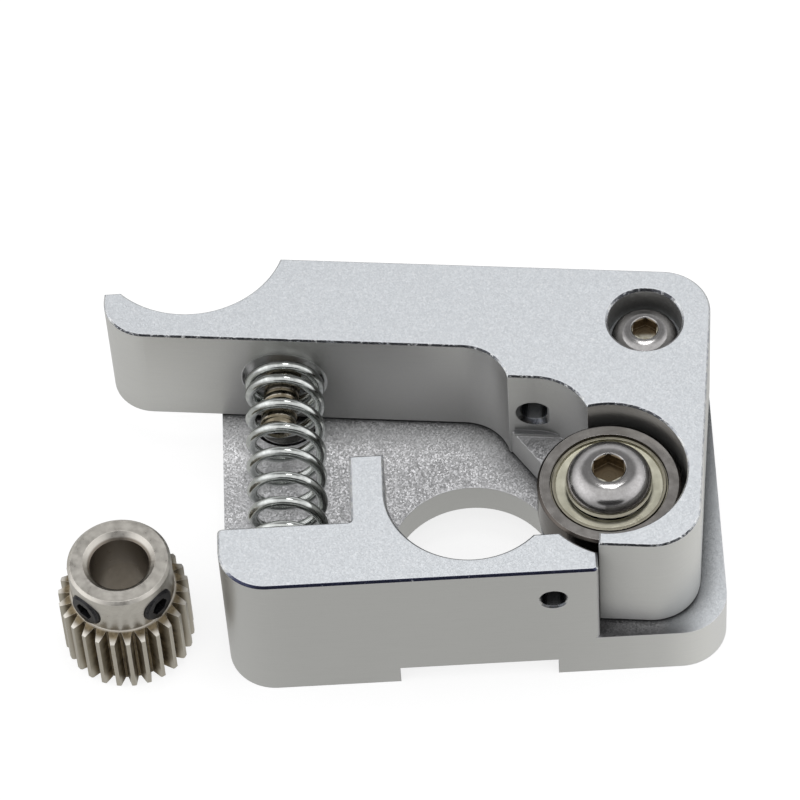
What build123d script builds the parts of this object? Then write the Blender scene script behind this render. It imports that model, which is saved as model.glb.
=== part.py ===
from build123d import *
import math
import os

# All-metal direct-drive filament extruder block for a 42 mm square motor.
# Millimetres. Origin: motor shaft axis at the block's back face.
# +X right, +Y towards the lever's back edge, +Z along the shaft away from the motor.
# The lever is closed, with no filament loaded; the drive gear stands loose beside the block.

# motor and shared sizes
plate_half_w = 42 / 2
motor_hole = 31 / 2              # half of the motor's screw pitch
pivot = (motor_hole, motor_hole)
base_screw_xy = (-motor_hole, motor_hole)
filament_d = 1.75
thread_r = 1.5                   # M3
m3_clear_r = 1.6
m3_neck_r = 1.3                  # reduced M3 shank inside the plate
m3_thread_top = -0.25            # Z where the full M3 thread ends, below the plate

# base block
plate_front_y, plate_back_y = -8.9, 21.0
plate_h = 5.0
block_top = 15.0
corner_r = 4.0
shaft_hole_r = 7.05
pilot_r, pilot_depth = 11.1, 2.0  # clears the motor's 22 mm pilot boss
countersink_r = 3.05
left_block_back_y = -2.7
rib_left_x, rib_back_y = -9.9, 3.95
wall_inner_y = -4.93
block_right_x = 10.15
idler_clear_x, idler_clear_y = 13.0, 0.1
idler_clear_r = 7.7
inside_corner_r, outside_corner_r = 0.3, 0.45
block_edge_chamfer = 0.2

# filament line
outlet_x, outlet_z = 6.4, 11.0
outlet_r, outlet_depth, outlet_lead = 1.1, 6, 0.15
inlet_r, inlet_depth, inlet_lead = 1.2, 14, 0.8
step_lead = 0.45

# drive gear
gear_x, gear_y = -29.5, -2.5
gear_teeth = 26
gear_tip_r, gear_root_r = 5.5, 4.5
gear_tooth_h, gear_h = 6.3, 10.8
collar_r, gear_bore_r = 4.35, 2.5

# 4 x 12 x 4 shielded ball bearing
bearing_bore_r, bearing_outer_r, bearing_w = 2.0, 6.0, 4.0
bearing_z0 = 10.0
bearing_z1 = bearing_z0 + bearing_w
ball_r, ball_circle_r, ball_count = 1.0, 4.0, 7

# idler lever, drawn parallel to the base and then turned about the pivot
closed_angle = math.radians(-6.35)
lever_z0, lever_z1 = 5.3, 16.2
lever_front_y, lever_back_y = 12.05, 20.75
lever_right_x = plate_half_w
bearing_local = (gear_tip_r + filament_d + bearing_outer_r, 0.1)
pocket_r = 6.5
floor_z = 8.3
boss_r, boss_h = 3.3, 0.7
boss_top = floor_z + boss_h
counterbore_r, counterbore_z = 3.15, 13.35

# compression spring and guide stud
spring_x, spring_z = -15.3, 10.6
spring_y0, spring_y1 = -4.75, 15.42
wire_r, coil_r = 0.45, 2.95
spring_pocket_r, spring_pocket_depth = 3.7, 2.5
lever_seat_r, lever_seat_depth = 3.5, 0.8
stud_x, stud_tip_y, stud_len = -15.2, 6.8, 10.0

os.makedirs("parts", exist_ok=True)

# Lever plane: its local X, Y are the base's X, Y with the lever parallel.
cos_closed, sin_closed = math.cos(closed_angle), math.sin(closed_angle)
lever_plane = Plane(
    origin=(motor_hole - cos_closed * motor_hole + sin_closed * motor_hole,
            motor_hole - sin_closed * motor_hole - cos_closed * motor_hole, 0),
    x_dir=(cos_closed, sin_closed, 0), z_dir=(0, 0, 1))


def upright(x, y, z=0):
    """Plane facing -Y: local X is the base's X, local Y is the base's Z."""
    return Plane(origin=(x, y, z), x_dir=(1, 0, 0), z_dir=(0, -1, 0))


def lever_upright(x, y, z, facing):
    """Upright plane at a lever point, facing the lever's +Y (1) or -Y (-1)."""
    return Plane(origin=lever_plane.from_local_coords((x, y, z)),
                 x_dir=lever_plane.x_dir, z_dir=lever_plane.y_dir * facing)


def vertical_axis(x, y):
    return Axis((x, y, 0), (0, 0, 1))


def direction(degrees):
    return Vector(math.cos(math.radians(degrees)), math.sin(math.radians(degrees)), 0)


def on_circle(x, y, radius, degrees):
    return (x + radius * math.cos(math.radians(degrees)),
            y + radius * math.sin(math.radians(degrees)))


def half_chord(radius, offset):
    """Half the chord that lies at an offset from a circle's centre."""
    return math.sqrt(radius ** 2 - offset ** 2)


def round_corner(start, corner, end):
    """Quarter arc from start to end, rounding off a square corner."""
    inset = 1 - math.sqrt(0.5)
    middle = [c + (s - c + e - c) * inset for s, c, e in zip(start, corner, end)]
    ThreePointArc(start, tuple(middle), end)


def hex_radius(across_flats):
    return across_flats / 2 / math.cos(math.pi / 6)


def is_at(vertex, x, y):
    return abs(vertex.X - x) < 0.01 and abs(vertex.Y - y) < 0.01


def save(builder, name):
    builder.part.label = name
    export_step(builder.part, f"parts/{name}.step")


# ---------------------------------------------------------------- base block
arc_end_x = idler_clear_x - half_chord(idler_clear_r, wall_inner_y - idler_clear_y)
arc_end_y = idler_clear_y - half_chord(idler_clear_r, block_right_x - idler_clear_x)
wall_bore_x = half_chord(shaft_hole_r, wall_inner_y)

with BuildPart() as base_block:
    with BuildSketch() as plate_outline:
        with BuildLine():
            Polyline((-plate_half_w, plate_front_y), (plate_half_w, plate_front_y),
                     (plate_half_w, plate_back_y), (-plate_half_w, plate_back_y), close=True)
        make_face()
        fillet(plate_outline.vertices(), corner_r)
    extrude(amount=plate_h)
    # raised wall: left block, rib and filament wall
    with BuildSketch(Plane.XY.offset(plate_h)) as raised:
        with BuildLine():
            Polyline((-plate_half_w + corner_r, plate_front_y), (block_right_x, plate_front_y),
                     (block_right_x, arc_end_y))
            ThreePointArc((block_right_x, arc_end_y),
                          on_circle(idler_clear_x, idler_clear_y, idler_clear_r, 235),
                          (arc_end_x, wall_inner_y))
            Line((arc_end_x, wall_inner_y), (wall_bore_x, wall_inner_y))
            ThreePointArc((wall_bore_x, wall_inner_y), on_circle(0, 0, shaft_hole_r, 225),
                          (-shaft_hole_r, 0))
            Polyline((-shaft_hole_r, 0), (-shaft_hole_r, rib_back_y), (rib_left_x, rib_back_y),
                     (rib_left_x, left_block_back_y), (-plate_half_w, left_block_back_y),
                     (-plate_half_w, plate_front_y + corner_r))
            round_corner((-plate_half_w, plate_front_y + corner_r),
                         (-plate_half_w, plate_front_y),
                         (-plate_half_w + corner_r, plate_front_y))
        make_face()
        # milled inside corner beside the rib, eased outside corners
        fillet([v for v in raised.vertices() if is_at(v, rib_left_x, left_block_back_y)],
               inside_corner_r)
        fillet([v for v in raised.vertices()
                if is_at(v, -plate_half_w, left_block_back_y)
                or is_at(v, block_right_x, plate_front_y)], outside_corner_r)
    extrude(amount=block_top - plate_h)
    # shaft opening and the recess for the motor's pilot boss
    for radius, depth in ((shaft_hole_r, plate_h), (pilot_r, pilot_depth)):
        with BuildSketch():
            Circle(radius)
        extrude(amount=depth, mode=Mode.SUBTRACT)
    # motor screw holes: plain at the pivot, countersunk under the lever
    with BuildSketch(Plane.XY):
        with Locations(pivot, base_screw_xy):
            Circle(m3_clear_r)
    extrude(amount=plate_h, mode=Mode.SUBTRACT)
    with BuildSketch(Plane.XY.offset(plate_h)):
        with Locations(base_screw_xy):
            Circle(countersink_r)
    extrude(amount=-(countersink_r - m3_clear_r), taper=45, mode=Mode.SUBTRACT)
    # filament outlet, its lead-in at the front, and the spring pocket in the left block
    outlet_plane = upright(outlet_x, plate_front_y, outlet_z)
    pocket_plane = upright(spring_x, left_block_back_y, spring_z)
    for plane, radius, amount, taper in (
            (outlet_plane, outlet_r, -outlet_depth, 0),
            (outlet_plane, outlet_r + outlet_lead, -outlet_lead, 45),
            (pocket_plane, spring_pocket_r, spring_pocket_depth, 0)):
        with BuildSketch(plane):
            Circle(radius)
        extrude(amount=amount, taper=taper, mode=Mode.SUBTRACT)
    # broken top edges
    top_face = base_block.faces().filter_by(Axis.Z).sort_by(Axis.Z)[-1]
    chamfer(top_face.outer_wire().edges(), block_edge_chamfer)
save(base_block, "base_block")

# --------------------------------------------------------------- idler lever
# All places in this section are in the lever plane.
bearing_local_x, bearing_local_y = bearing_local
gear_relief_x, gear_relief_y, gear_relief_r = 0.25, 7.85, 4.2
bearing_relief_x, bearing_relief_y, bearing_relief_r = 6.55, 3.93, 5.15
step_y = 9.08
step_x = gear_relief_x + half_chord(gear_relief_r, step_y - gear_relief_y)
# horn: where the bearing relief meets the bearing pocket
gap_x, gap_y = bearing_local_x - bearing_relief_x, bearing_local_y - bearing_relief_y
gap = math.hypot(gap_x, gap_y)
along = (bearing_relief_r ** 2 - pocket_r ** 2 + gap ** 2) / (2 * gap)
across = half_chord(bearing_relief_r, along)
horn = (bearing_relief_x + (along * gap_x - across * gap_y) / gap,
        bearing_relief_y + (along * gap_y + across * gap_x) / gap)
# hook round the right of the bearing
hook_x, hook_front_y, hook_corner_r = 12.8, -7.6, 4.1
hook_inner_y = bearing_local_y - half_chord(pocket_r, hook_x - bearing_local_x)
back_corner_r = 4.2
# thumb scoop and handle
scoop_x, scoop_y, scoop_r = -23.85, 22.8, 8.25
scoop_start_x = scoop_x + half_chord(scoop_r, lever_back_y - scoop_y)
tip_x = -29.2
tip_y = scoop_y - half_chord(scoop_r, tip_x - scoop_x)
handle_x, handle_r = -30.55, 3.75
handle_back_y = tip_y - 0.17
eased_corner_r = 0.35
lever_edge_chamfer = 0.15
# pocket floor outline either side of the arc under the bearing
floor_arc_r = 5.8
floor_left = [(4.3, 9.3), (7.25, 5.75), (7.8, 2.08)]
floor_arc_end = (bearing_local_x, bearing_local_y - floor_arc_r)
floor_right = [(bearing_local_x, -7.0), (17.2, -5.5), (20.5, 0.0), (17.2, 7.5), (11.2, 10.5),
               (4.3, 10.5), floor_left[0]]
ledge_centre, ledge_size, ledge_h = (6.75, 8.98), (4.1, 0.7), 0.3
axle_hole_r = 2.0
pivot_hole_r = 1.55
counterbore_lead = 0.2
stud_hole_depth = 5.0

with BuildPart() as idler_lever:
    # full-height body
    with BuildSketch(lever_plane.offset(lever_z0)) as lever_outline:
        with BuildLine():
            Line((handle_x + handle_r, lever_front_y), (gear_relief_x, lever_front_y))
            ThreePointArc((gear_relief_x, lever_front_y),
                          on_circle(gear_relief_x, gear_relief_y, gear_relief_r, 52),
                          (step_x, step_y))
            Line((step_x, step_y), (bearing_relief_x, step_y))
            ThreePointArc((bearing_relief_x, step_y),
                          on_circle(bearing_relief_x, bearing_relief_y, bearing_relief_r, 58),
                          horn)
            ThreePointArc(horn, (bearing_local_x + pocket_r, bearing_local_y),
                          (hook_x, hook_inner_y))
            Polyline((hook_x, hook_inner_y), (hook_x, hook_front_y),
                     (lever_right_x - hook_corner_r, hook_front_y))
            round_corner((lever_right_x - hook_corner_r, hook_front_y),
                         (lever_right_x, hook_front_y),
                         (lever_right_x, hook_front_y + hook_corner_r))
            Line((lever_right_x, hook_front_y + hook_corner_r),
                 (lever_right_x, lever_back_y - back_corner_r))
            round_corner((lever_right_x, lever_back_y - back_corner_r),
                         (lever_right_x, lever_back_y),
                         (lever_right_x - back_corner_r, lever_back_y))
            Line((lever_right_x - back_corner_r, lever_back_y), (scoop_start_x, lever_back_y))
            ThreePointArc((scoop_start_x, lever_back_y), (scoop_x, scoop_y - scoop_r),
                          (tip_x, tip_y))
            Polyline((tip_x, tip_y), (handle_x, handle_back_y),
                     (handle_x, lever_front_y + handle_r))
            round_corner((handle_x, lever_front_y + handle_r), (handle_x, lever_front_y),
                         (handle_x + handle_r, lever_front_y))
        make_face()
        # fillets go on outline vertices that match these two places in the base's frame
        eased_corners = [lever_plane.from_local_coords((x, y, lever_z0))
                         for x, y in ((handle_x, handle_back_y), (hook_x, hook_front_y))]
        fillet([v for v in lever_outline.vertices()
                if any((Vector(v.X, v.Y, v.Z) - corner).length < 0.05
                       for corner in eased_corners)], eased_corner_r)
    extrude(amount=lever_z1 - lever_z0)
    # broken top edge
    lever_top = idler_lever.faces().filter_by(Axis.Z).sort_by(Axis.Z)[-1]
    chamfer(lever_top.outer_wire().edges(), lever_edge_chamfer)
    # pocket floor under the bearing, cut back on the left to pass the gear
    with BuildSketch(lever_plane.offset(lever_z0)):
        with BuildLine():
            Polyline(*floor_left)
            ThreePointArc(floor_left[-1],
                          on_circle(bearing_local_x, bearing_local_y, floor_arc_r, 218),
                          floor_arc_end)
            Polyline(floor_arc_end, *floor_right)
        make_face()
    extrude(amount=floor_z - lever_z0)
    # narrow milled ledge where the floor meets the step
    with BuildSketch(lever_plane.offset(floor_z)):
        with Locations(ledge_centre):
            Rectangle(*ledge_size)
    extrude(amount=ledge_h)
    # seat boss for the bearing spacer
    with BuildSketch(lever_plane.offset(floor_z)):
        with Locations(bearing_local):
            Circle(boss_r)
    extrude(amount=boss_h)
    # tapped hole for the bearing's screw; pivot hole, counterbore and its lead-in
    for centre, z, radius, amount, taper in (
            (bearing_local, lever_z0, axle_hole_r, boss_top - lever_z0, 0),
            (pivot, lever_z0, pivot_hole_r, lever_z1 - lever_z0, 0),
            (pivot, counterbore_z, counterbore_r, lever_z1 - counterbore_z, 0),
            (pivot, lever_z1, counterbore_r + counterbore_lead, -counterbore_lead, 45)):
        with BuildSketch(lever_plane.offset(z)):
            with Locations(centre):
                Circle(radius)
        extrude(amount=amount, taper=taper, mode=Mode.SUBTRACT)
    # filament inlet from the back edge, its countersinks at the back edge and at the step,
    # then the spring seat and the stud's tapped hole
    inlet_plane = lever_upright(outlet_x, lever_back_y, outlet_z, -1)
    step_plane = lever_upright(outlet_x, step_y - 0.1, outlet_z, 1)
    seat_plane = lever_upright(stud_x, lever_front_y, spring_z, 1)
    for plane, radius, depth, taper in (
            (inlet_plane, inlet_r, inlet_depth, 0),
            (inlet_plane, inlet_r + inlet_lead, inlet_lead, 45),
            (step_plane, inlet_r + step_lead, step_lead, 45),
            (seat_plane, lever_seat_r, lever_seat_depth, 0),
            (seat_plane, thread_r + 0.02, stud_hole_depth, 0)):
        with BuildSketch(plane):
            Circle(radius)
        extrude(amount=depth, taper=taper, mode=Mode.SUBTRACT)
save(idler_lever, "idler_lever")

# ------------------------------------------------------------- bearing's place
bearing_centre = lever_plane.from_local_coords((bearing_local_x, bearing_local_y, 0))
bearing_xy = (bearing_centre.X, bearing_centre.Y)
bearing_plane = upright(*bearing_xy)
bearing_axis = vertical_axis(*bearing_xy)


# ------------------------------------------------------------- button screws
def button_screw(name, centre, seat_z, shank, head_r, rim_h, head_h, crown_r,
                 key, key_turn, socket_depth, socket_mouth_r):
    """Button-head screw; shank holds (radius, height from the seat) from the tip up."""
    with BuildPart() as screw:
        with BuildSketch(upright(*centre, seat_z)):
            with BuildLine():
                Polyline(*shank, (head_r, 0), (head_r, rim_h))
                TangentArc((crown_r, head_h), (head_r, rim_h), tangent=(1, 0))
                Polyline((crown_r, head_h), (0, head_h), shank[0])
            make_face()
        revolve(axis=vertical_axis(*centre))
        with BuildSketch(Plane.XY.offset(seat_z + head_h)):
            with Locations(centre):
                RegularPolygon(hex_radius(key), 6, rotation=key_turn)
        extrude(amount=-socket_depth, mode=Mode.SUBTRACT)
        with BuildSketch(Plane.XY.offset(seat_z + head_h)):
            with Locations(centre):
                Circle(socket_mouth_r)
        extrude(amount=-0.12, taper=45, mode=Mode.SUBTRACT)
    save(screw, name)


# M3 x 16 pivot screw, seated in the lever's counterbore
neck_bottom = m3_thread_top - counterbore_z
neck_top = plate_h + 0.2 - counterbore_z
button_screw(
    "pivot_screw", pivot, counterbore_z,
    shank=[(0, -16), (1.2, -16), (thread_r, -15.7), (thread_r, neck_bottom),
           (m3_neck_r, neck_bottom), (m3_neck_r, neck_top), (thread_r, neck_top + 0.3),
           (thread_r, 0)],
    head_r=2.85, rim_h=0.35, head_h=1.65, crown_r=1.25,
    key=2.0, key_turn=22, socket_depth=1.04, socket_mouth_r=1.2)

# M4 x 8 screw, the bearing's axle
button_screw(
    "bearing_axle_screw", bearing_xy, bearing_z1,
    shank=[(0, -8), (1.6, -8), (1.97, -7.63), (1.97, 0)],
    head_r=3.6, rim_h=0.45, head_h=2.2, crown_r=1.65,
    key=2.5, key_turn=28, socket_depth=1.3, socket_mouth_r=1.47)


# ------------------------------- shim under the lever, spacer under the bearing
def washer(name, centre, z0, z1, outer_r, inner_r):
    with BuildPart() as ring:
        with BuildSketch(Plane.XY.offset(z0)):
            with Locations(centre):
                Circle(outer_r)
                Circle(inner_r, mode=Mode.SUBTRACT)
        extrude(amount=z1 - z0)
    save(ring, name)


washer("pivot_washer", pivot, plate_h, lever_z0, outer_r=3.4, inner_r=1.6)
washer("bearing_spacer", bearing_xy, boss_top, bearing_z0, outer_r=2.95, inner_r=2.05)

# ------------------------------------ M3 x 8 countersunk screw to the motor
base_screw_top = 4.9
base_screw_profile = [  # radius, Z
    (0, -3.1), (1.2, -3.1), (thread_r, -2.8), (thread_r, m3_thread_top),
    (m3_neck_r, m3_thread_top), (m3_neck_r, 3.3), (2.72, 4.72), (2.72, base_screw_top),
    (0, base_screw_top), (0, -3.1)]

with BuildPart() as base_screw:
    with BuildSketch(upright(*base_screw_xy)):
        with BuildLine():
            Polyline(*base_screw_profile)
        make_face()
    revolve(axis=vertical_axis(*base_screw_xy))
    with BuildSketch(Plane.XY.offset(base_screw_top)):
        with Locations(base_screw_xy):
            RegularPolygon(hex_radius(2.0), 6)
    extrude(amount=-1.0, mode=Mode.SUBTRACT)
save(base_screw, "base_screw")

# ------------------------------------------------------------ ball bearing
bearing_mid_z = bearing_z0 + bearing_w / 2
recess_r, recess_depth = 4.93, 0.65   # takes a shield at each end of the outer ring
outer_land_r, inner_land_r = 4.6, 3.25
outer_chamfer, bore_chamfer = 0.22, 0.15
cage_half_wall, cage_h = 0.28, 2.3
shield_profile = [  # radius, depth below the bearing's end: flat disc with a rolled rim
    (3.5, 0.6), (4.91, 0.6), (4.91, 0.3), (4.8, 0.3),
    (4.74, 0.08), (4.52, 0.08), (4.46, 0.38), (3.5, 0.42)]


def bearing_ring(name, profile, raceway):
    """Revolve a closed (radius, Z) profile, with or without the balls' groove."""
    with BuildPart() as ring:
        with BuildSketch(bearing_plane):
            with BuildLine():
                Polyline(*profile, close=True)
            make_face()
            if raceway:
                with Locations((ball_circle_r, bearing_mid_z)):
                    Circle(ball_r + 0.03, mode=Mode.SUBTRACT)
        revolve(axis=bearing_axis)
    save(ring, name)


bearing_ring("bearing_outer_ring", [
    (outer_land_r, bearing_z0 + recess_depth), (recess_r, bearing_z0 + recess_depth),
    (recess_r, bearing_z0), (bearing_outer_r - outer_chamfer, bearing_z0),
    (bearing_outer_r, bearing_z0 + outer_chamfer), (bearing_outer_r, bearing_z1 - outer_chamfer),
    (bearing_outer_r - outer_chamfer, bearing_z1), (recess_r, bearing_z1),
    (recess_r, bearing_z1 - recess_depth), (outer_land_r, bearing_z1 - recess_depth),
], raceway=True)
bearing_ring("bearing_inner_ring", [
    (bearing_bore_r, bearing_z0 + bore_chamfer), (bearing_bore_r + bore_chamfer, bearing_z0),
    (inner_land_r, bearing_z0), (inner_land_r, bearing_z1),
    (bearing_bore_r + bore_chamfer, bearing_z1), (bearing_bore_r, bearing_z1 - bore_chamfer),
], raceway=True)
# shields: the front one is at the +Z end
bearing_ring("bearing_shield_front", [(r, bearing_z1 - depth) for r, depth in shield_profile],
             raceway=False)
bearing_ring("bearing_shield_rear", [(r, bearing_z0 + depth) for r, depth in shield_profile],
             raceway=False)

with BuildPart() as bearing_balls:
    with Locations((*bearing_xy, bearing_mid_z)):
        with PolarLocations(ball_circle_r, ball_count):
            Sphere(ball_r)
save(bearing_balls, "bearing_balls")

with BuildPart() as bearing_cage:
    with BuildSketch(Plane.XY.offset(bearing_mid_z - cage_h / 2)):
        with Locations(bearing_xy):
            Circle(ball_circle_r + cage_half_wall)
            Circle(ball_circle_r - cage_half_wall, mode=Mode.SUBTRACT)
    extrude(amount=cage_h)
    for i in range(ball_count):
        with BuildSketch(Plane(origin=(*bearing_xy, bearing_mid_z),
                               z_dir=direction(360 * i / ball_count))):
            Circle(ball_r + 0.04)
        extrude(amount=6, mode=Mode.SUBTRACT)
save(bearing_cage, "bearing_cage")

# ------------------------------------------------------ compression spring
closed_turns, ease_turns = 1.15, 0.6      # at each end
closed_pitch, open_pitch = 0.95, 2.52
end_phase = 0.74                          # turns from local X-up to the last point
points_per_turn = 16
end_len = closed_turns * closed_pitch + ease_turns * (closed_pitch + open_pitch) / 2
open_turns = (spring_y1 - spring_y0 - 2 * end_len) / open_pitch
total_turns = 2 * (closed_turns + ease_turns) + open_turns


def end_rise(turns):
    """Length of a number of turns counted from a closed end."""
    if turns <= closed_turns:
        return closed_pitch * turns
    if turns <= closed_turns + ease_turns:
        eased = (turns - closed_turns) / ease_turns
        blend = (open_pitch - closed_pitch) * ease_turns * (eased ** 3 - eased ** 4 / 2)
        return closed_pitch * turns + blend
    return end_len + open_pitch * (turns - closed_turns - ease_turns)


def coil_point(turns):
    if turns <= total_turns / 2:
        y = spring_y0 + end_rise(turns)
    else:
        y = spring_y1 - end_rise(total_turns - turns)
    angle = 2 * math.pi * (turns - total_turns + end_phase) + math.pi / 2
    return (spring_x + coil_r * math.cos(angle), y, spring_z + coil_r * math.sin(angle))


point_count = int(round(total_turns * points_per_turn))
coil_points = [coil_point(total_turns * i / point_count) for i in range(point_count + 1)]

with BuildPart() as compression_spring:
    with BuildLine() as coil_path:
        Spline(*coil_points)
    with BuildSketch(Plane(origin=coil_path.line @ 0, z_dir=coil_path.line % 0)):
        Circle(wire_r)
    sweep(path=coil_path.line, is_frenet=True)
save(compression_spring, "compression_spring")

# ---------------------------------------------------------------- drive gear
set_z = gear_h - 2.45
set_inner_r, set_len = 2.6, 1.9           # set screw: inner end's radius, length
set_angles = {"set_screw_left": -134.0, "set_screw_right": -44.0}
tooth_angle = 2 * math.pi / gear_teeth
gear_phase = math.radians(-3.1)
tip_half = 0.17 / gear_tip_r              # half angles of the tooth tip and the root flat
root_half = 0.10 / gear_root_r
cone_z = gear_tooth_h + 0.57
collar_chamfer = 0.25
bore_lead_bottom, bore_lead_top = 0.4, 0.55

gear_points = []
for i in range(gear_teeth):
    for radius, offset in ((gear_tip_r, -tip_half), (gear_tip_r, tip_half),
                           (gear_root_r, tooth_angle / 2 - root_half),
                           (gear_root_r, tooth_angle / 2 + root_half)):
        angle = i * tooth_angle + gear_phase + offset
        gear_points.append((radius * math.cos(angle), radius * math.sin(angle)))

# profiles of radius, Z
tooth_cone = [(collar_r, cone_z), (gear_tip_r + 0.3, gear_tooth_h - 0.15),
              (gear_tip_r + 0.3, cone_z + 1), (collar_r, cone_z + 1)]
tooth_foot = [(gear_tip_r - 0.15, 0), (gear_tip_r + 0.1, 0), (gear_tip_r + 0.1, 0.25)]
collar = [(0, cone_z), (collar_r, cone_z), (collar_r, gear_h - collar_chamfer),
          (collar_r - collar_chamfer, gear_h), (0, gear_h)]
bore = [(0, 0), (gear_bore_r + bore_lead_bottom, 0), (gear_bore_r, bore_lead_bottom),
        (gear_bore_r, gear_h - bore_lead_top), (gear_bore_r + bore_lead_top, gear_h),
        (0, gear_h)]

with BuildPart() as drive_gear:
    with BuildSketch(Plane(origin=(gear_x, gear_y, 0), x_dir=(1, 0, 0), z_dir=(0, 0, 1))):
        with BuildLine():
            Polyline(*gear_points, close=True)
        make_face()
    extrude(amount=cone_z)
    # cone the tooth tops, break their feet, add the collar, bore through
    for profile, mode in ((tooth_cone, Mode.SUBTRACT), (tooth_foot, Mode.SUBTRACT),
                          (collar, Mode.ADD), (bore, Mode.SUBTRACT)):
        with BuildSketch(upright(gear_x, gear_y)):
            with BuildLine():
                Polyline(*profile, close=True)
            make_face()
        revolve(axis=vertical_axis(gear_x, gear_y), mode=mode)
    # tapped holes for the set screws
    for degrees in set_angles.values():
        with BuildSketch(Plane(origin=(gear_x, gear_y, set_z), z_dir=direction(degrees))):
            Circle(thread_r + 0.03)
        extrude(amount=6, mode=Mode.SUBTRACT)
save(drive_gear, "drive_gear")


# ------------------------------------------- headless M3 screws, 1.5 mm socket
def headless_screw(name, plane, side, length, end_chamfer, socket_depth):
    """Screw with its socket end on the plane and its body on side 1 or -1 of it."""
    with BuildPart() as screw:
        with BuildSketch(plane):
            Circle(thread_r)
        extrude(amount=side * length)
        chamfer(screw.edges().filter_by(GeomType.CIRCLE), end_chamfer)
        with BuildSketch(plane):
            RegularPolygon(hex_radius(1.5), 6)
        extrude(amount=side * socket_depth, mode=Mode.SUBTRACT)
    save(screw, name)


# stud that centres the spring
headless_screw("spring_guide_screw", lever_upright(stud_x, stud_tip_y, spring_z, 1), side=1,
               length=stud_len, end_chamfer=0.25, socket_depth=1.3)

# set screws in the gear's collar
for name, degrees in set_angles.items():
    outward = direction(degrees)
    outer_end = Vector(gear_x, gear_y, set_z) + outward * (set_inner_r + set_len)
    headless_screw(name, Plane(origin=outer_end, z_dir=outward), side=-1,
                   length=set_len, end_chamfer=0.2, socket_depth=1.1)
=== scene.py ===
# Spring-loaded idler: a base block and a pivoting lever in blasted aluminium, a ball bearing on
# the lever, a compression spring between the two, and a toothed drive gear at the left.
# Millimetres, scaled by MM. +X is right, -Y is the front, where the camera stands, and the
# object rests on z = 0. The spring's axis runs along Y; the bearing's, gear's and pivot's along Z.
import bpy
import math
import random
from functools import cached_property
from types import SimpleNamespace
from mathutils import Matrix, Vector


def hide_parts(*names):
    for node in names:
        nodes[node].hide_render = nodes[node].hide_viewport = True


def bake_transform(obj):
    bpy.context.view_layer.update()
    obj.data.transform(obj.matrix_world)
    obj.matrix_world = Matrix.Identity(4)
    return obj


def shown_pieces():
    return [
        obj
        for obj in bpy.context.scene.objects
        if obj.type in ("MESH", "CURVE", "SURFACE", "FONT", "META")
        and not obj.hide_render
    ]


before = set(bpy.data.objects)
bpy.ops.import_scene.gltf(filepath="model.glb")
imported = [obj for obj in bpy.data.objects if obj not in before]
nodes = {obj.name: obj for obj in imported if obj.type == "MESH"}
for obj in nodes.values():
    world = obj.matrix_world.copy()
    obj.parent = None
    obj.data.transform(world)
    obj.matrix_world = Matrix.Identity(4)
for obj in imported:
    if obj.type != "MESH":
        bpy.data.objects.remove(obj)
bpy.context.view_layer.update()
random.seed(7)

MM = 0.001

# Upright axes, as (x, y)
PIVOT = (15.5, 15.5)
BASE_SCREW = (-15.5, 15.5)
BEARING = (11.5605, 0.4433)
GEAR = (-29.5, -2.5)

# Spring
SPRING_X, SPRING_Z = -15.3, 10.6
SPRING_START, SPRING_END = -4.75, 15.42     # y of the wire's centre at both ends
WIRE_RADIUS = 0.45
WIRE_TIP = 0.82                             # wire radius at its two ends, as a share
COIL_RADIUS = 2.95
CLOSED_TURNS, EASE_TURNS = 1.15, 0.6        # at each end: closed coils, then the change of pitch
CLOSED_PITCH, OPEN_PITCH = 0.95, 2.52
LAST_ANGLE = 0.74                           # where the wire stops, in turns from the top
STEPS_PER_TURN, WIRE_SIDES = 48, 16


# ------------------------------------------------------------------ node helpers
class Graph:
    """Builds the node tree of one material or world."""

    def __init__(self, owner):
        owner.use_nodes = True
        self.tree = owner.node_tree
        self.tree.nodes.clear()

    def put(self, socket, value):
        """Links a socket, or sets a number, vector or colour (alpha is added)."""
        if isinstance(value, bpy.types.NodeSocket):
            self.tree.links.new(value, socket)
        elif isinstance(value, tuple):
            socket.default_value = (list(value) + [1.0])[:len(socket.default_value)]
        else:
            socket.default_value = value

    def new(self, kind, inputs=None, **settings):
        node = self.tree.nodes.new("ShaderNode" + kind)
        for setting, value in settings.items():
            setattr(node, setting, value)
        for key, value in (inputs or {}).items():
            self.put(node.inputs[key], value)
        return node

    def math(self, operation, a, b=0.0):
        return self.new("Math", {0: a, 1: b, 2: 0.0}, operation=operation).outputs[0]

    def plus(self, a, b):
        return self.math("ADD", a, b)

    def minus(self, a, b):
        return self.math("SUBTRACT", a, b)

    def times(self, product, *factors):
        for factor in factors:
            product = self.math("MULTIPLY", product, factor)
        return product

    def vector(self, operation, a, b=(0, 0, 0), output=0):
        return self.new("VectorMath", {0: a, 1: b}, operation=operation).outputs[output]

    def scaled(self, vector, scale):
        return self.new("VectorMath", {0: vector, "Scale": scale}, operation="SCALE").outputs[0]

    def split(self, vector):
        return tuple(self.new("SeparateXYZ", {0: vector}).outputs)

    def line(self, value, span=(0.3, 0.7), to=(0, 1), kind="LINEAR"):
        """Carries span over to another range, and holds the ends."""
        inputs = {0: value, 1: span[0], 2: span[1], 3: to[0], 4: to[1]}
        return self.new("MapRange", inputs, interpolation_type=kind).outputs[0]

    def smooth(self, value, span, to=(0, 1)):
        return self.line(value, span, to, "SMOOTHSTEP")

    def fade(self, value, span):
        """1 below the span, 0 above it."""
        return self.smooth(value, span, to=(1, 0))


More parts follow.
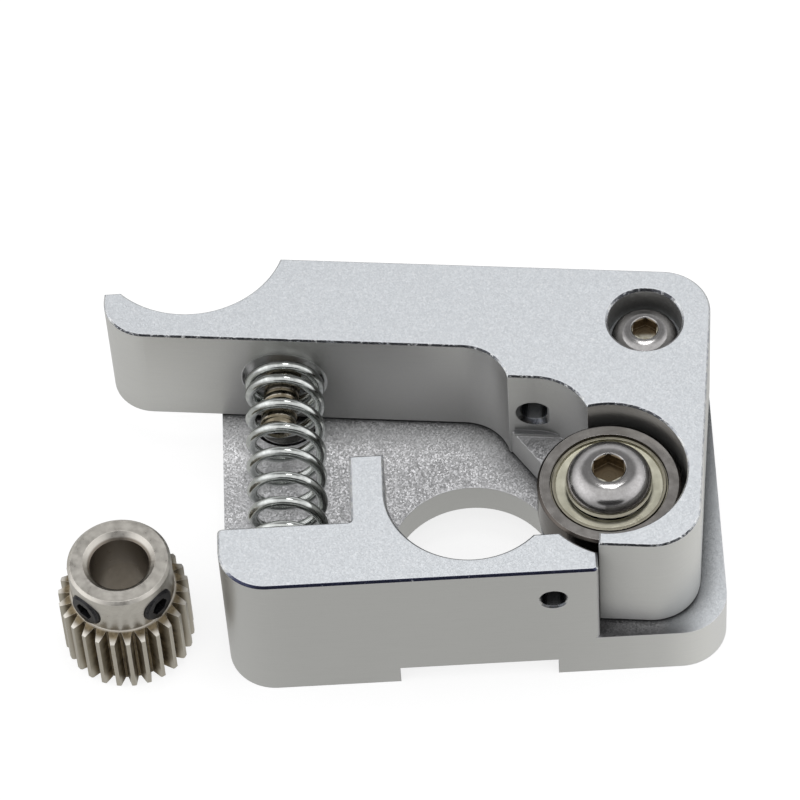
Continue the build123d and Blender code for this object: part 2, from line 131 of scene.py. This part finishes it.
class Metal(Graph):
    """A metal material, in mm in the row frame at rest."""

    def __init__(self, name):
        self.material = bpy.data.materials.new(name)
        super().__init__(self.material)
        self.position = self.scaled(self.new("TexCoord").outputs["Object"], 1 / MM)

    @cached_property
    def axes(self):
        return self.split(self.position)

    @cached_property
    def geometry(self):
        return self.new("NewGeometry")

    @cached_property
    def facing(self):
        """x, y and z of the surface's direction."""
        return self.split(self.geometry.outputs["True Normal"])

    def noise(self, scale, detail=3, rough=0.6, vector=None, stretch=None):
        vector = vector or self.position
        if stretch:
            vector = self.vector("MULTIPLY", vector, stretch)
        inputs = {"Vector": vector, "Scale": scale, "Detail": detail, "Roughness": rough}
        return self.new("TexNoise", inputs).outputs[0]

    def cells(self, scale):
        """A random colour for each small cell."""
        inputs = {"Vector": self.position, "Scale": scale}
        return self.new("TexVoronoi", inputs).outputs["Color"]

    def mix(self, factor, a, b):
        return self.new("Mix", {0: factor, 6: a, 7: b}, data_type="RGBA").outputs[2]

    def mix_value(self, factor, a, b):
        return self.new("Mix", {0: factor, 2: a, 3: b}, data_type="FLOAT").outputs[0]

    def tint(self, noise, a, b, span=(0.3, 0.7)):
        """Goes from colour a to colour b with the noise."""
        return self.mix(self.line(noise, span), a, b)

    def vary(self, base, noise, amount):
        """Base value that the noise moves up and down by half the amount."""
        return self.plus(base, self.times(self.line(noise, to=(-0.5, 0.5)), amount))

    def near(self, value, level, span):
        return self.fade(self.math("ABSOLUTE", self.minus(value, level)), span)

    def distance(self, a, b, centre):
        a = self.minus(a, centre[0])
        b = self.minus(b, centre[1])
        return self.math("SQRT", self.plus(self.times(a, a), self.times(b, b)))

    def radius(self, centre):
        """Distance from an upright axis."""
        return self.distance(self.axes[0], self.axes[1], centre)

    def turning(self, radius, scale, detail=2, rough=0.6):
        """Noise that runs in rings, as turning marks do."""
        rings = self.new("CombineXYZ", {0: radius, 1: self.axes[2]}).outputs[0]
        return self.noise(scale, detail, rough, vector=rings)

    def soft_normal(self, radius):
        """Normal with the edges rounded, so that they catch the light."""
        return self.new("Bevel", {"Radius": radius * MM}, samples=6).outputs[0]

    def edge(self, soft):
        """1 on edges, 0 on flats."""
        likeness = self.vector("DOT_PRODUCT", soft, self.geometry.outputs["Normal"], "Value")
        return self.fade(likeness, span=(0.93, 0.995))

    def glitter(self, normal, amount, scale):
        """Tips the normal a little, differently in each small cell."""
        tip = self.vector("SUBTRACT", self.cells(scale), (0.5, 0.5, 0.5))
        tipped = self.vector("ADD", normal, self.scaled(tip, amount))
        return self.vector("NORMALIZE", tipped)

    def bump(self, height, depth, strength, normal=None):
        inputs = {"Strength": strength, "Distance": depth * MM, "Height": height}
        if normal is not None:
            inputs["Normal"] = normal
        return self.new("Bump", inputs).outputs[0]

    def finish(self, color, rough, normal, metallic=1.0):
        shader = self.new("BsdfPrincipled", {
            "Base Color": color, "Roughness": rough, "Metallic": metallic, "Normal": normal})
        self.new("OutputMaterial", {0: shader.outputs[0]})
        return self.material


# ------------------------------------------------------------------ aluminium
def aluminium_regions(g, floor_z, top_z):
    """Masks, 1 inside each region of an aluminium part."""
    x, y, z = g.axes
    _, facing_y, facing_z = g.facing
    up = g.smooth(facing_z, span=(0.55, 0.92))
    slope = g.times(g.smooth(facing_z, span=(0.3, 0.5)), g.fade(facing_z, span=(0.8, 0.95)))
    rim = g.smooth(z, span=(top_z - 0.45, top_z - 0.35))
    spring_radius = g.distance(x, z, (SPRING_X, SPRING_Z))
    return SimpleNamespace(
        up=up,
        slope=slope,
        rim=rim,
        # chamfers of the top rim that face the front
        front_rim=g.times(slope, rim, g.fade(facing_y, span=(-0.52, -0.30))),
        # milled floor; the strip at the far right keeps the smooth blasted skin
        floor=g.times(up, g.near(z, floor_z, span=(0.15, 0.3)), g.fade(x, span=(15.0, 16.2))),
        # round seat behind the back end of the spring
        seat=g.times(g.fade(spring_radius, span=(3.62, 3.72)), g.smooth(y, span=(10, 11))))


def aluminium_side_color(g, cutter):
    """Warm sides, with painted light towards the ends of the parts and on the right hook."""
    x, y, _ = g.axes
    # painted light: the sides grow lighter towards the ends of the parts
    ends = g.plus(g.smooth(x, span=(4, 21), to=(0, 0.20)),
                  g.plus(g.smooth(x, span=(-24, -14), to=(0.15, 0)),
                         g.smooth(x, span=(-28, -21.5), to=(0.12, 0))))
    # painted light on the front of the right hook, stronger towards its right
    hook_light_gain = g.plus(0.04, g.smooth(x, span=(14.5, 20), to=(0, 0.40)))
    hook = g.times(g.smooth(x, span=(12, 14)), g.smooth(y, span=(0, 3), to=(hook_light_gain, 0)))
    color = g.tint(cutter, (0.61, 0.61, 0.595), (0.63, 0.63, 0.615))
    return g.scaled(color, g.plus(1.0, g.plus(ends, hook)))


def aluminium_color(g, region, fine, cutter, edge, rim_reflection, rim_gap_scale, rim_gap_span, open_shade, ledge_z):
    """Base colour before the shade is laid over it."""
    up, slope, floor = region.up, region.slope, region.floor
    # cool top faces with cloudy patches and light streaks
    top = g.tint(fine, (0.70, 0.728, 0.757), (0.80, 0.828, 0.852))
    patches = g.line(g.noise(2.6), span=(0.35, 0.65), to=(0, 0.22))
    top = g.mix(patches, top, (0.63, 0.655, 0.68))
    streak = g.smooth(g.noise(1, stretch=(0.9, 5.5, 0.9)), span=(0.58, 0.72))
    top = g.mix(g.times(streak, 0.28), top, (0.90, 0.91, 0.93))
    # milled floor, with painted light towards the back, near the lever's wall
    milled = g.tint(fine, (0.76, 0.76, 0.775), (0.93, 0.93, 0.95), span=(0.35, 0.65))
    floor_painted_light = g.times(g.smooth(g.axes[1], span=(8.8, 12.2)), 0.8 * open_shade)
    milled = g.mix(floor_painted_light, milled, (0.97, 0.97, 0.985))
    color = g.mix(up, aluminium_side_color(g, cutter), top)
    color = g.mix(floor, color, milled)
    # painted glints: a few cells of upward faces are lighter, more of them on the floor
    spark = g.smooth(g.new("SeparateColor", {0: g.cells(6.5)}).outputs[1], span=(0.90, 0.97))
    painted_glints = g.times(up, spark, g.mix_value(floor, 0.26, 0.55))
    color = g.mix(painted_glints, color, (0.96, 0.96, 0.97))
    # painted highlight: edges are lighter
    color = g.mix(g.times(edge, 0.35), color, (0.88, 0.89, 0.91))
    if ledge_z is not None:
        # painted shade: the narrow ledge at ledge_z is near black
        ledge = g.times(up, g.near(g.axes[2], ledge_z, span=(0.05, 0.12)))
        color = g.mix(g.times(ledge, 0.75), color, (0.16, 0.16, 0.16))
    # painted shade: slopes below the rim are dark; all slopes have bluish burrs
    below_rim_shade = g.times(slope, g.times(g.minus(1.0, region.rim), 0.9))
    color = g.mix(below_rim_shade, color, (0.13, 0.13, 0.13))
    burr = g.times(slope, g.smooth(g.noise(1.6, rough=0.7), span=(0.40, 0.62)))
    color = g.mix(g.times(burr, 0.55), color, (0.30, 0.33, 0.40))
    # painted reflection: a dark colour on the chamfers of the top rim that face the front, broken
    # up by noise
    noise_patches = g.fade(g.noise(rim_gap_scale, detail=4, rough=0.7), rim_gap_span)
    color = g.mix(g.times(g.times(region.front_rim, noise_patches), 0.94), color, rim_reflection)
    # painted light: the round seat behind the spring is lighter, lifting its shade
    return g.mix(g.times(region.seat, 0.8), color, (0.92, 0.92, 0.92))


def aluminium_shade(g, region, reach, span, darkest, open_shade):
    """Painted shade in corners and hollows: 0 is black, 1 is clear."""
    x, y, z = g.axes
    hollow = g.new("AmbientOcclusion", {"Distance": reach * MM}, samples=6).outputs["AO"]
    shade = g.line(hollow, span, to=(darkest, 1))
    floor_light = g.smooth(y, span=(8.8, 12.2), to=(0.82, 1))
    floor_shade = g.line(hollow, span=(0.42, 0.74), to=(0.10, floor_light))
    shade = g.mix_value(g.times(region.floor, open_shade), shade, floor_shade)
    # the narrow step in front of the hook lies in its shade
    nook = g.times(g.smooth(x, span=(9.8, 10.4)), g.fade(y, span=(-9, -7)),
                   g.fade(z, span=(6, 7)), g.fade(x, span=(16, 19.8)))
    nook_shade = g.times(g.math("POWER", shade, 1.6), 0.26)
    shade = g.mix_value(g.times(nook, open_shade), shade, nook_shade)
    # the seat and the sides stay clear
    shade = g.mix_value(region.seat, shade, 1.0)
    sides = g.times(g.fade(g.facing[2], span=(0.3, 0.6)), open_shade)
    shade = g.mix_value(sides, shade, 1.0)
    # reflections and bounced light see one even shade
    return g.mix_value(g.new("LightPath").outputs["Is Camera Ray"], 0.58, shade)


def aluminium(name, floor_z, top_z, rim_reflection, rim_gap_scale, rim_gap_span,
              reach, shade_span, darkest, open_shade, ledge_z=None):
    """Bead-blasted, clear-anodised aluminium with a coarser, glittering floor at floor_z.

    reach, shade_span and darkest set the shade in hollows; open_shade is the strength of the
    separate treatment of floor, nook and sides. ledge_z is the height of a ledge painted dark as
    shade."""
    g = Metal(name)
    region = aluminium_regions(g, floor_z, top_z)
    up, floor = region.up, region.floor
    soft = g.soft_normal(0.14)
    fine = g.noise(7, detail=4)
    broad = g.noise(0.09, detail=2, rough=0.5)
    cutter = g.noise(3, stretch=(0.12, 0.12, 3.0))
    color = aluminium_color(g, region, fine, cutter, g.edge(soft), rim_reflection, rim_gap_scale, rim_gap_span,
                            open_shade, ledge_z)
    shade = aluminium_shade(g, region, reach, shade_span, darkest, open_shade)
    # the painted shade is laid over the colour
    color = g.mix(shade, (0.0, 0.0, 0.0), color)
    # roughness of sides, then tops, floor and slopes
    rough = g.mix_value(up, g.line(broad, to=(0.34, 0.40)), g.line(fine, to=(0.44, 0.54)))
    rough = g.mix_value(floor, rough, g.line(fine, to=(0.34, 0.48)))
    rough = g.mix_value(region.slope, rough, 0.20)
    # glitter of sides, tops and floor
    amount = g.mix_value(floor, g.mix_value(up, 0.015, 0.16), 0.34)
    normal = g.glitter(soft, amount, scale=8.5)
    fine_strength = g.mix_value(up, 0.10, 0.45)
    normal = g.bump(fine, depth=0.02, strength=fine_strength, normal=normal)
    cutter_strength = g.mix_value(up, 0.06, 0.0)
    normal = g.bump(cutter, depth=0.01, strength=cutter_strength, normal=normal)
    return g.finish(color, rough, normal, metallic=g.mix_value(up, 0.9, 0.72))


# ------------------------------------------------------------------ steels
def stainless(name, centre, socket_radius, head_top, rough=0.17, lit=0.35):
    """Polished button head: turning rings, small pits, a brassy socket with painted shade on its
    walls and painted light and shade on its foot.

    lit moves the bright part of the socket's foot back, in socket radii."""
    g = Metal(name)
    _, y, z = g.axes
    radius = g.radius(centre)
    soft = g.soft_normal(0.07)
    turned = g.turning(radius, scale=11)
    pits = g.noise(3, detail=5, rough=0.65)
    in_socket = g.times(g.fade(radius, span=(socket_radius - 0.05, socket_radius + 0.05)),
                        g.fade(z, span=(head_top - 0.12, head_top - 0.03)),
                        g.smooth(z, span=(head_top - 2.2, head_top - 2.0)))
    head = g.tint(pits, (0.37, 0.36, 0.355), (0.47, 0.46, 0.455))
    # painted shade on the socket's walls
    wall_painted_shade = g.tint(pits, (0.07, 0.05, 0.03), (0.18, 0.14, 0.09), span=(0.35, 0.65))
    depth = g.math("DIVIDE", g.minus(y, centre[1]), socket_radius)
    # painted light on the front of the socket's foot, painted shade at its back
    bright = g.tint(pits, (0.62, 0.58, 0.44), (0.95, 0.92, 0.80), span=(0.4, 0.6))
    foot = g.mix(g.fade(depth, span=(-1.0 + lit, -0.5 + lit)), (0.16, 0.125, 0.08), bright)
    socket = g.mix(g.smooth(g.facing[2], span=(0.5, 0.8)), wall_painted_shade, foot)
    color = g.mix(in_socket, head, socket)
    rough = g.plus(g.vary(rough, turned, amount=0.12), g.times(in_socket, 0.14))
    normal = g.bump(turned, depth=0.01, strength=0.25, normal=soft)
    normal = g.bump(pits, depth=0.02, strength=0.10, normal=normal)
    return g.finish(color, rough, normal)


def turned_steel(name, centre, dark, light, rough, ring_scale=9, ring_bump=0.25,
                 bore=None, lip=None):
    """Ground or turned steel with fine circular marks about an upright axis.

    Inside the radius bore, and on the sides, it is painted dark as shade; outside the radius lip
    painted shade dims it."""
    g = Metal(name)
    turned = g.turning(g.radius(centre), ring_scale)
    stain = g.noise(0.9, detail=4)
    soft = g.soft_normal(0.06)
    blend = g.plus(g.times(turned, 0.5), g.times(stain, 0.5))
    color = g.tint(blend, dark, light, span=(0.35, 0.65))
    # painted highlight: edges are lighter
    color = g.mix(g.times(g.edge(soft), 0.4), color, (0.9, 0.9, 0.88))
    if bore is not None:
        # painted shade: the side of the ring, and everything inside its bore
        side = g.times(g.fade(g.facing[2], span=(0.75, 0.92)), 0.88)
        color = g.mix(side, color, (0.06, 0.048, 0.04))
        inside = g.fade(g.radius(centre), span=(bore - 0.03, bore + 0.03))
        color = g.mix(g.times(inside, 0.92), color, (0.035, 0.028, 0.022))
    if lip is not None:
        # painted shade: the shield dims outside the lip, in the groove by the ring
        outside = g.smooth(g.radius(centre), span=(lip - 0.10, lip + 0.04))
        color = g.mix(g.times(outside, 0.62), color, (0.20, 0.175, 0.13))
    normal = g.bump(turned, depth=0.01, strength=ring_bump, normal=soft)
    return g.finish(color, g.vary(rough, stain, amount=0.12), normal)


def gear_metal(name, centre):
    """Warm machined steel: turned collar, cut teeth; painted shade darkens the flanks, the roots to
    dark brown, and the bore.
    """
    g = Metal(name)
    radius = g.radius(centre)
    turned = g.turning(radius, scale=8, detail=3, rough=0.65)
    cut = g.noise(9, stretch=(1.0, 1.0, 0.06))
    stain = g.noise(1.3, detail=5, rough=0.65)
    soft = g.soft_normal(0.05)
    # the teeth lie below the collar
    teeth = g.fade(g.axes[2], span=(6.75, 6.9))
    root_ring = g.times(g.fade(radius, span=(4.8, 5.40)), g.smooth(radius, span=(4.2, 4.4)))
    roots = g.times(teeth, root_ring)
    bore = g.fade(radius, span=(2.6, 2.75))
    color = g.tint(stain, (0.54, 0.51, 0.46), (0.72, 0.69, 0.635))
    rings = g.line(turned, span=(0.35, 0.65), to=(0, 0.5))
    color = g.mix(rings, color, (0.70, 0.67, 0.61))
    # painted shade on the flanks of the teeth
    flank_painted_shade = g.times(teeth, g.smooth(g.facing[2], span=(0.3, 0.6), to=(0.55, 0)))
    color = g.mix(flank_painted_shade, color, (0.50, 0.455, 0.36))
    # painted shade: the tooth roots go dark brown
    brown = g.tint(stain, (0.09, 0.068, 0.04), (0.29, 0.235, 0.15), span=(0.35, 0.6))
    color = g.mix(roots, color, brown)
    # painted shade inside the bore
    color = g.mix(g.times(bore, 0.85), color, (0.17, 0.14, 0.11))
    # painted highlight: edges are lighter
    color = g.mix(g.times(g.edge(soft), 0.45), color, (0.86, 0.83, 0.77))
    rough = g.plus(g.vary(0.34, stain, amount=0.16), g.times(roots, 0.25))
    ring_strength = g.mix_value(teeth, 0.35, 0.0)
    normal = g.bump(turned, depth=0.015, strength=ring_strength, normal=soft)
    normal = g.bump(cut, depth=0.02, strength=g.times(teeth, 0.35), normal=normal)
    return g.finish(color, rough, normal)


def threaded_steel(name):
    """Dark brown-grey screw, lighter in patches on the thread crests."""
    g = Metal(name)
    wave = {"Vector": g.position, "Scale": 0.45, "Distortion": 0.0}
    crest = g.new("TexWave", wave, wave_type="BANDS", bands_direction="Y",
                  wave_profile="TRI").outputs["Fac"]
    stain = g.noise(1.4, detail=4, rough=0.65)
    noise_patches = g.times(g.smooth(crest, span=(0.55, 0.9)), g.smooth(stain, span=(0.35, 0.6)))
    color = g.tint(stain, (0.13, 0.11, 0.075), (0.27, 0.235, 0.17))
    color = g.mix(noise_patches, color, (0.62, 0.58, 0.50))
    normal = g.bump(crest, depth=0.25, strength=0.8)
    return g.finish(color, g.line(stain, to=(0.20, 0.38)), normal)


def bright_wire(name):
    """Bright spring wire with faint marks drawn out along Y."""
    g = Metal(name)
    drawn = g.noise(2.2, stretch=(1.0, 0.6, 1.0))
    speck = g.noise(9)
    color = g.tint(drawn, (0.46, 0.48, 0.465), (0.66, 0.68, 0.66))
    normal = g.bump(speck, depth=0.01, strength=0.25)
    return g.finish(color, g.line(speck, to=(0.07, 0.16)), normal)


def black_oxide(name):
    """Speckled black finish with a slight painted highlight on its edges."""
    g = Metal(name)
    speck = g.noise(6, detail=4, rough=0.65)
    soft = g.soft_normal(0.08)
    color = g.tint(speck, (0.012, 0.012, 0.014), (0.045, 0.044, 0.046))
    # painted highlight: edges are lighter
    color = g.mix(g.times(g.edge(soft), 0.5), color, (0.16, 0.15, 0.15))
    normal = g.bump(speck, depth=0.02, strength=0.3, normal=soft)
    return g.finish(color, g.line(speck, to=(0.25, 0.45)), normal, metallic=0.7)


SHIELD = dict(dark=(0.62, 0.60, 0.46), light=(0.82, 0.80, 0.66), rough=0.32,
              ring_scale=3, ring_bump=0.10, lip=4.5)
# the dark rim colours of the aluminium parts are painted reflections on their front chamfers
materials = {
    "base_block": aluminium(
        "blasted_base", floor_z=5.0, top_z=15.0, rim_reflection=(0.008, 0.012, 0.055),
        rim_gap_scale=1.6, rim_gap_span=(0.62, 0.68),
        reach=3.4, shade_span=(0.50, 0.84), darkest=0.10, open_shade=1.0),
    "idler_lever": aluminium(
        "blasted_lever", floor_z=8.3, top_z=16.2, rim_reflection=(0.03, 0.032, 0.04),
        rim_gap_scale=3.5, rim_gap_span=(0.52, 0.62),
        reach=8.0, shade_span=(0.45, 0.92), darkest=0.50, open_shade=0.0, ledge_z=8.6),
    "pivot_screw": stainless(
        "pivot_stainless", PIVOT, socket_radius=1.2, head_top=15.0, lit=0.75),
    "bearing_axle_screw": stainless(
        "axle_stainless", BEARING, socket_radius=1.5, head_top=16.2, lit=0.12),
    "base_screw": stainless(
        "base_stainless", BASE_SCREW, socket_radius=1.2, head_top=4.9, rough=0.22),
    "spring_guide_screw": threaded_steel("stud_steel"),
    "pivot_washer": turned_steel(
        "shim_steel", PIVOT, dark=(0.50, 0.50, 0.49), light=(0.66, 0.66, 0.65), rough=0.28),
    "bearing_outer_ring": turned_steel(
        "ring_steel", BEARING, dark=(0.42, 0.395, 0.37), light=(0.56, 0.535, 0.51),
        rough=0.20, ring_scale=12, bore=4.95),
    "bearing_inner_ring": turned_steel(
        "inner_ring_steel", BEARING, dark=(0.40, 0.39, 0.37), light=(0.58, 0.57, 0.54),
        rough=0.17, ring_scale=12),
    "bearing_balls": turned_steel(
        "ball_steel", BEARING, dark=(0.58, 0.58, 0.58), light=(0.70, 0.70, 0.70),
        rough=0.10, ring_scale=2, ring_bump=0.05),
    "bearing_cage": turned_steel(
        "cage_steel", BEARING, dark=(0.36, 0.35, 0.31), light=(0.50, 0.48, 0.42), rough=0.30),
    "bearing_shield_front": turned_steel("shield_front_zinc", BEARING, **SHIELD),
    "bearing_shield_rear": turned_steel("shield_rear_zinc", BEARING, **SHIELD),
    "bearing_spacer": turned_steel(
        "spacer_steel", BEARING, dark=(0.48, 0.48, 0.47), light=(0.64, 0.64, 0.62), rough=0.25),
    "drive_gear": gear_metal("gear_steel", GEAR),
    "set_screw_left": black_oxide("oxide_left"),
    "set_screw_right": black_oxide("oxide_right"),
}
for name, material in materials.items():
    slots = nodes[name].data.materials
    slots.clear()
    slots.append(material)


# ------------------------------------------------------------------ spring
END_LENGTH = CLOSED_TURNS * CLOSED_PITCH + EASE_TURNS * (CLOSED_PITCH + OPEN_PITCH) / 2
OPEN_TURNS = (SPRING_END - SPRING_START - 2 * END_LENGTH) / OPEN_PITCH
TURNS = 2 * (CLOSED_TURNS + EASE_TURNS) + OPEN_TURNS


def rise(turn):
    """Distance along the axis from one end of the spring, for its first half."""
    if turn <= CLOSED_TURNS:
        return CLOSED_PITCH * turn
    if turn <= CLOSED_TURNS + EASE_TURNS:
        part = (turn - CLOSED_TURNS) / EASE_TURNS
        gain = (OPEN_PITCH - CLOSED_PITCH) * EASE_TURNS * (part ** 3 - part ** 4 / 2)
        return CLOSED_PITCH * turn + gain
    return END_LENGTH + OPEN_PITCH * (turn - CLOSED_TURNS - EASE_TURNS)


def coil_point(turn):
    """Centre of the wire; the second half mirrors the pitch of the first."""
    y = SPRING_START + rise(turn) if turn <= TURNS / 2 else SPRING_END - rise(TURNS - turn)
    angle = 2 * math.pi * (turn - TURNS + LAST_ANGLE) + math.pi / 2
    return Vector((SPRING_X + COIL_RADIUS * math.cos(angle), y,
                   SPRING_Z + COIL_RADIUS * math.sin(angle)))


def add_mesh(name, verts, faces, material):
    mesh = bpy.data.meshes.new(name)
    mesh.from_pydata([tuple(c * MM for c in vert) for vert in verts], [], faces)
    mesh.update()
    piece = bpy.data.objects.new(name, mesh)
    bpy.context.scene.collection.objects.link(piece)
    mesh.materials.append(material)
    return piece


def build_spring():
    """Round wire swept along the coil, with flat ends."""
    steps = int(TURNS * STEPS_PER_TURN)
    verts, faces = [], []
    for i in range(steps + 1):
        turn = TURNS * i / steps
        centre = coil_point(turn)
        ahead = coil_point(min(TURNS, turn + 0.002))
        behind = coil_point(max(0.0, turn - 0.002))
        along = (ahead - behind).normalized()
        out = Vector((centre.x - SPRING_X, 0, centre.z - SPRING_Z)).normalized()
        side = along.cross(out).normalized()
        out = side.cross(along)
        radius = WIRE_RADIUS * WIRE_TIP if i in (0, steps) else WIRE_RADIUS
        for k in range(WIRE_SIDES):
            angle = 2 * math.pi * k / WIRE_SIDES
            verts.append(centre + (out * math.cos(angle) + side * math.sin(angle)) * radius)
    for i in range(steps):
        for k in range(WIRE_SIDES):
            a = i * WIRE_SIDES + k
            b = i * WIRE_SIDES + (k + 1) % WIRE_SIDES
            faces.append((a, b, b + WIRE_SIDES, a + WIRE_SIDES))
    faces.append(tuple(range(WIRE_SIDES - 1, -1, -1)))
    faces.append(tuple(steps * WIRE_SIDES + k for k in range(WIRE_SIDES)))
    piece = add_mesh("spring_coil", verts, faces, bright_wire("spring_wire"))
    for face in piece.data.polygons:
        face.use_smooth = True
    return piece


spring = build_spring()
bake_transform(spring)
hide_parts("compression_spring")

# CAD pieces: smooth faces, sharp where they meet at more than 28 degrees
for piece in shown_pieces():
    if piece.name in nodes:
        for face in piece.data.polygons:
            face.use_smooth = True
        piece.data.set_sharp_from_angle(angle=math.radians(28))


# ------------------------------------------------------------------ stage
def floor_material():
    """Glows for the camera under soft shadows, dimmer in reflections, clear from below."""
    material = bpy.data.materials.new("studio_floor")
    g = Graph(material)
    diffuse = g.new("BsdfDiffuse", {"Color": (0.30, 0.30, 0.30)})
    glow = g.new("Emission", {"Color": (1, 1, 1), "Strength": 0.80})
    seen = g.new("AddShader", {0: diffuse.outputs[0], 1: glow.outputs[0]})
    reflected = g.new("Emission", {"Color": (0.97, 0.97, 0.95), "Strength": 0.56})
    camera_ray = g.new("LightPath").outputs["Is Camera Ray"]
    top = g.new("MixShader", {0: camera_ray, 1: reflected.outputs[0], 2: seen.outputs[0]})
    below = g.new("NewGeometry").outputs["Backfacing"]
    clear = g.new("BsdfTransparent")
    both = g.new("MixShader", {0: below, 1: top.outputs[0], 2: clear.outputs[0]})
    g.new("OutputMaterial", {0: both.outputs[0]})
    return material


FLOOR_HALF = 6000.0
FLOOR_Z = -0.02
corners = [(sx * FLOOR_HALF, sy * FLOOR_HALF, FLOOR_Z)
           for sx, sy in ((-1, -1), (1, -1), (1, 1), (-1, 1))]
add_mesh("studio_floor", corners, [(0, 1, 2, 3)], floor_material())


# ------------------------------------------------------------------ world
def card(g, direction, azimuth, elevation, inner, outer, wide=1.0):
    """1 inside a soft patch of the dome, 0 outside.

    Angles in degrees, azimuth from +X; wide stretches the patch along X."""
    azimuth, elevation = math.radians(azimuth), math.radians(elevation)
    squeezed = g.vector("MULTIPLY", direction, (1 / wide, 1, 1))
    middle = (math.cos(elevation) * math.cos(azimuth) / wide,
              math.cos(elevation) * math.sin(azimuth),
              math.sin(elevation))
    away = g.vector("DISTANCE", squeezed, middle, "Value")
    return g.fade(away, [2 * math.sin(math.radians(angle) / 2) for angle in (inner, outer)])


def build_world():
    """Grey dome, lighter towards the top, with bright and dark cards; the camera sees white."""
    world = bpy.data.worlds.new("studio")
    bpy.context.scene.world = world
    g = Graph(world)
    direction = g.new("TexCoord").outputs["Generated"]
    height = g.line(g.split(direction)[2], span=(-0.2, 1.0))
    dome = g.new("ValToRGB", {0: height})
    stops = dome.color_ramp.elements
    stops[0].position, stops[0].color = 0.0, (0.30, 0.30, 0.29, 1)
    stops[1].position, stops[1].color = 1.0, (1.0, 1.0, 1.0, 1)
    for place, value in ((0.17, 0.35), (0.30, 0.55), (0.55, 0.85), (0.80, 1.0)):
        stops.new(place).color = (value, value, value * 1.01, 1)

    level = 1.0
    # bright cards, left then right
    for azimuth, outer, gain in ((180, 60, 0.9), (0, 55, 0.7)):
        patch = card(g, direction, azimuth, elevation=12, inner=10, outer=outer)
        level = g.plus(level, g.times(patch, gain))
    # dark cards, high at the back, then low in front
    high_back = dict(azimuth=90, elevation=60, inner=14, outer=34, wide=1.5)
    low_front = dict(azimuth=-90, elevation=27, inner=12, outer=16, wide=2.6)
    for place, loss in ((high_back, 0.70), (low_front, 0.93)):
        patch = card(g, direction, **place)
        level = g.times(level, g.minus(1.0, g.times(patch, loss)))
    level = g.times(level, 1.02)

    lighting = g.new("Background", {"Color": dome.outputs[0], "Strength": level})
    seen = g.new("Background", {"Color": (1, 1, 1), "Strength": 1.0})
    camera_ray = g.new("LightPath").outputs["Is Camera Ray"]
    mixed = g.new("MixShader", {0: camera_ray, 1: lighting.outputs[0], 2: seen.outputs[0]})
    g.new("OutputWorld", {0: mixed.outputs[0]})


# ------------------------------------------------------------------ light and camera
def area_light(name, location, target, size, power):
    """Square light; places and size in metres, power in watts."""
    data = bpy.data.lights.new(name, "AREA")
    data.shape = "RECTANGLE"
    data.size = data.size_y = size
    data.energy = power
    light = bpy.data.objects.new(name, data)
    bpy.context.scene.collection.objects.link(light)
    light.location = location
    light.rotation_mode = "QUATERNION"
    light.rotation_quaternion = (Vector(target) - Vector(location)).to_track_quat("-Z", "Y")


ELEVATION = math.radians(56.0)      # of the camera above the floor
YAW = math.radians(0.17)            # of the camera's place about Z
ROLL = math.radians(3.27)
DISTANCE = 417.3                    # from the origin
AIM_RIGHT = -6.4330776              # point aimed at, from the origin along the rolled axes
AIM_UP = 16.1270247
SENSOR_WIDTH = 36.0
FOCAL_LENGTH = 220.271805


def build_camera():
    yaw = Matrix.Rotation(YAW, 3, "Z")
    level_right = yaw @ Vector((1, 0, 0))
    level_up = yaw @ Vector((0, math.sin(ELEVATION), math.cos(ELEVATION)))
    outward = yaw @ Vector((0, -math.cos(ELEVATION), math.sin(ELEVATION)))
    right = level_right * math.cos(ROLL) - level_up * math.sin(ROLL)
    up = level_right * math.sin(ROLL) + level_up * math.cos(ROLL)
    look = (right * AIM_RIGHT + up * AIM_UP - outward * DISTANCE).normalized()
    axis_z = -look
    axis_x = up.cross(axis_z).normalized()
    axis_y = axis_z.cross(axis_x)

    data = bpy.data.cameras.new("camera")
    camera = bpy.data.objects.new("camera", data)
    bpy.context.scene.collection.objects.link(camera)
    data.sensor_width = SENSOR_WIDTH
    data.lens = FOCAL_LENGTH
    data.clip_start, data.clip_end = 0.01, 20.0
    turn = Matrix((axis_x, axis_y, axis_z)).transposed().to_4x4()
    camera.matrix_world = Matrix.Translation(outward * DISTANCE * MM) @ turn
    bpy.context.scene.camera = camera


build_world()
area_light("key", location=(0.030, 0.130, 0.484), target=(0, 0, 0.01), size=0.105, power=0.26)
build_camera()
bpy.context.scene.view_settings.view_transform = "Standard"
bpy.context.scene.view_settings.look = "None"

bpy.context.view_layer.update()
